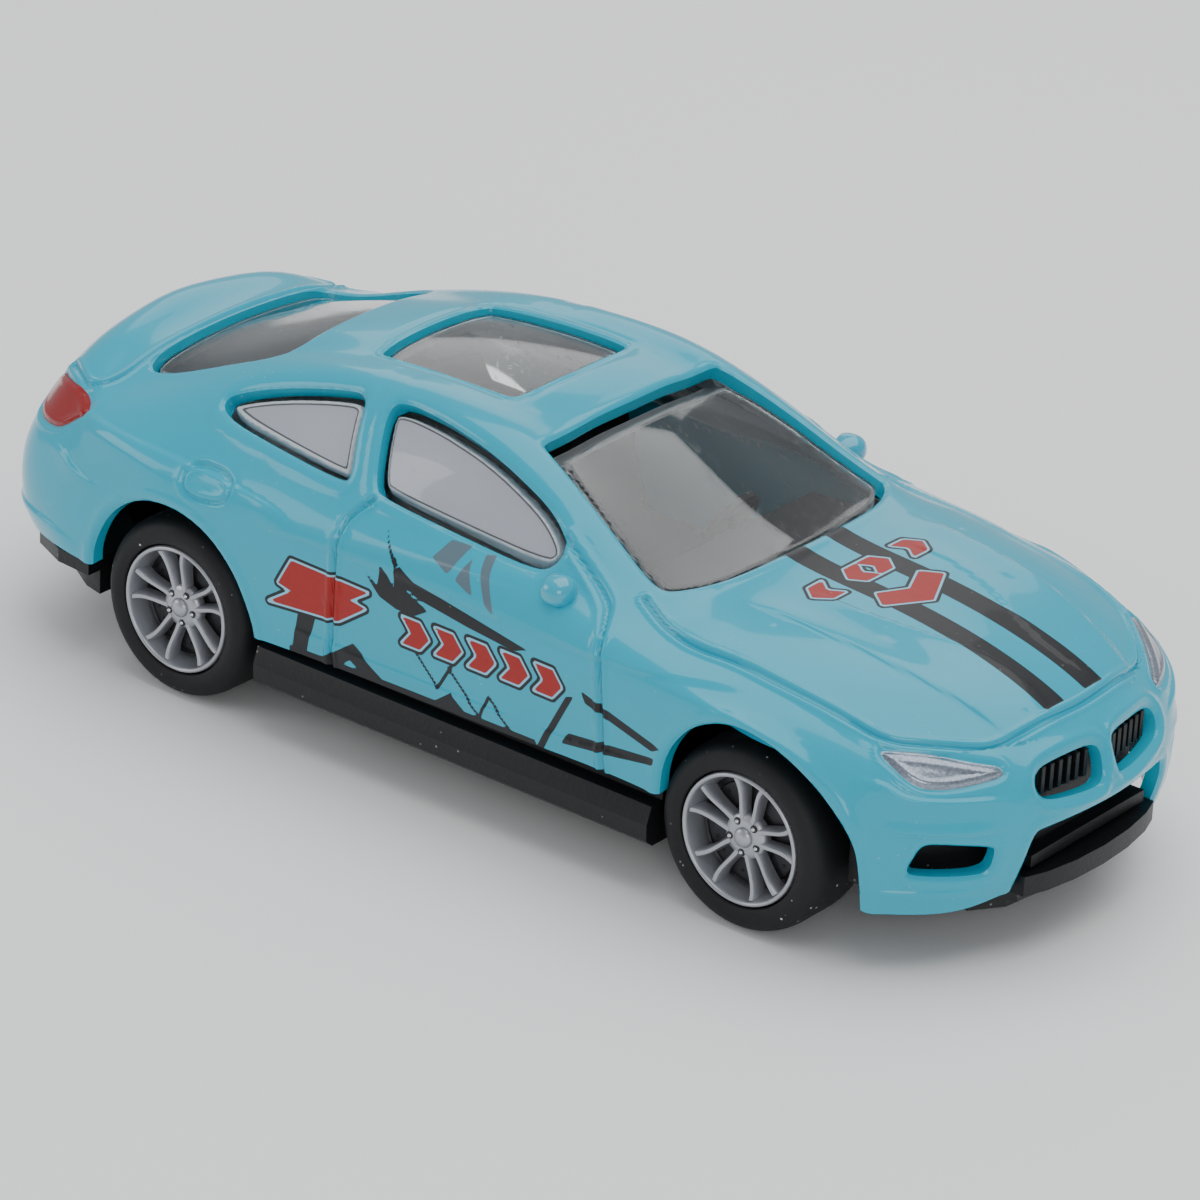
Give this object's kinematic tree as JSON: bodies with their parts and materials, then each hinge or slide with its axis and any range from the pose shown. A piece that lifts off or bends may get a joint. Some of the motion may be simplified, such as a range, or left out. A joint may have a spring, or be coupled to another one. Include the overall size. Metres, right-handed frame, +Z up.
{
  "type": "pull back car",
  "caption": "Small die-cast toy coupe with clear glazing, spoked wheels and a clockwork motor that is wound by pulling it back.",
  "frame": {"origin": "centre of the car's footprint box, on the ground", "axes": "+X to the nose, +Y to the car's left side, +Z up"},
  "size_m": [0.1164, 0.048, 0.035],
  "materials": {
    "paint": "gloss turquoise enamel",
    "clear": "clear polystyrene, silver inside the side windows",
    "black_plastic": "satin moulded",
    "rim": "silver lacquer",
    "tyre": "smooth matte",
    "steel": "plain",
    "nylon": "natural",
    "spring": "blued"
  },
  "bodies": {
    "car": {"body_shell": "paint", "window_moulding": "clear", "base_plate": "black_plastic", "front_grille_insert": "black_plastic", "cabin_moulding": "black_plastic", "steering_wheel": "black_plastic", "motor_case_left": "black_plastic", "motor_case_right": "black_plastic", "screw_rear": "steel", "screw_front": "steel"},
    "front_wheels": {"front_axle": "steel", "tyre_front_left": "tyre", "wheel_core_front_left": "black_plastic", "rim_front_left": "rim", "tyre_front_right": "tyre", "wheel_core_front_right": "black_plastic", "rim_front_right": "rim"},
    "rear_wheels": {"rear_axle": "steel", "tyre_rear_left": "tyre", "wheel_core_rear_left": "black_plastic", "rim_rear_left": "rim", "tyre_rear_right": "tyre", "wheel_core_rear_right": "black_plastic", "rim_rear_right": "rim", "axle_pinion": "nylon"},
    "idler": {"idler_gear": "nylon"},
    "winding": {"winding_gear": "nylon", "mainspring": "spring"}
  },
  "joints": [
    {"name": "rear_axle_spin", "type": "hinge", "parent": "car", "child": "rear_wheels", "pos_m": [-0.0313, 0, 0.00887], "axis": [0, 1, 0], "continuous": true},
    {"name": "front_axle_spin", "type": "hinge", "parent": "car", "child": "front_wheels", "pos_m": [0.0347, 0, 0.00887], "axis": [0, 1, 0], "continuous": true},
    {"name": "idler_spin", "type": "hinge", "parent": "car", "child": "idler", "pos_m": [-0.02448, 0, 0.01118], "axis": [0, 1, 0], "continuous": true},
    {"name": "winding_spin", "type": "hinge", "parent": "car", "child": "winding", "pos_m": [-0.01676, 0, 0.01328], "axis": [0, 1, 0], "continuous": true}
  ],
  "couplings": [
    {"joint": "idler_spin", "follows": "rear_axle_spin", "ratio": -0.5},
    {"joint": "winding_spin", "follows": "rear_axle_spin", "ratio": 0.16667}
  ]
}
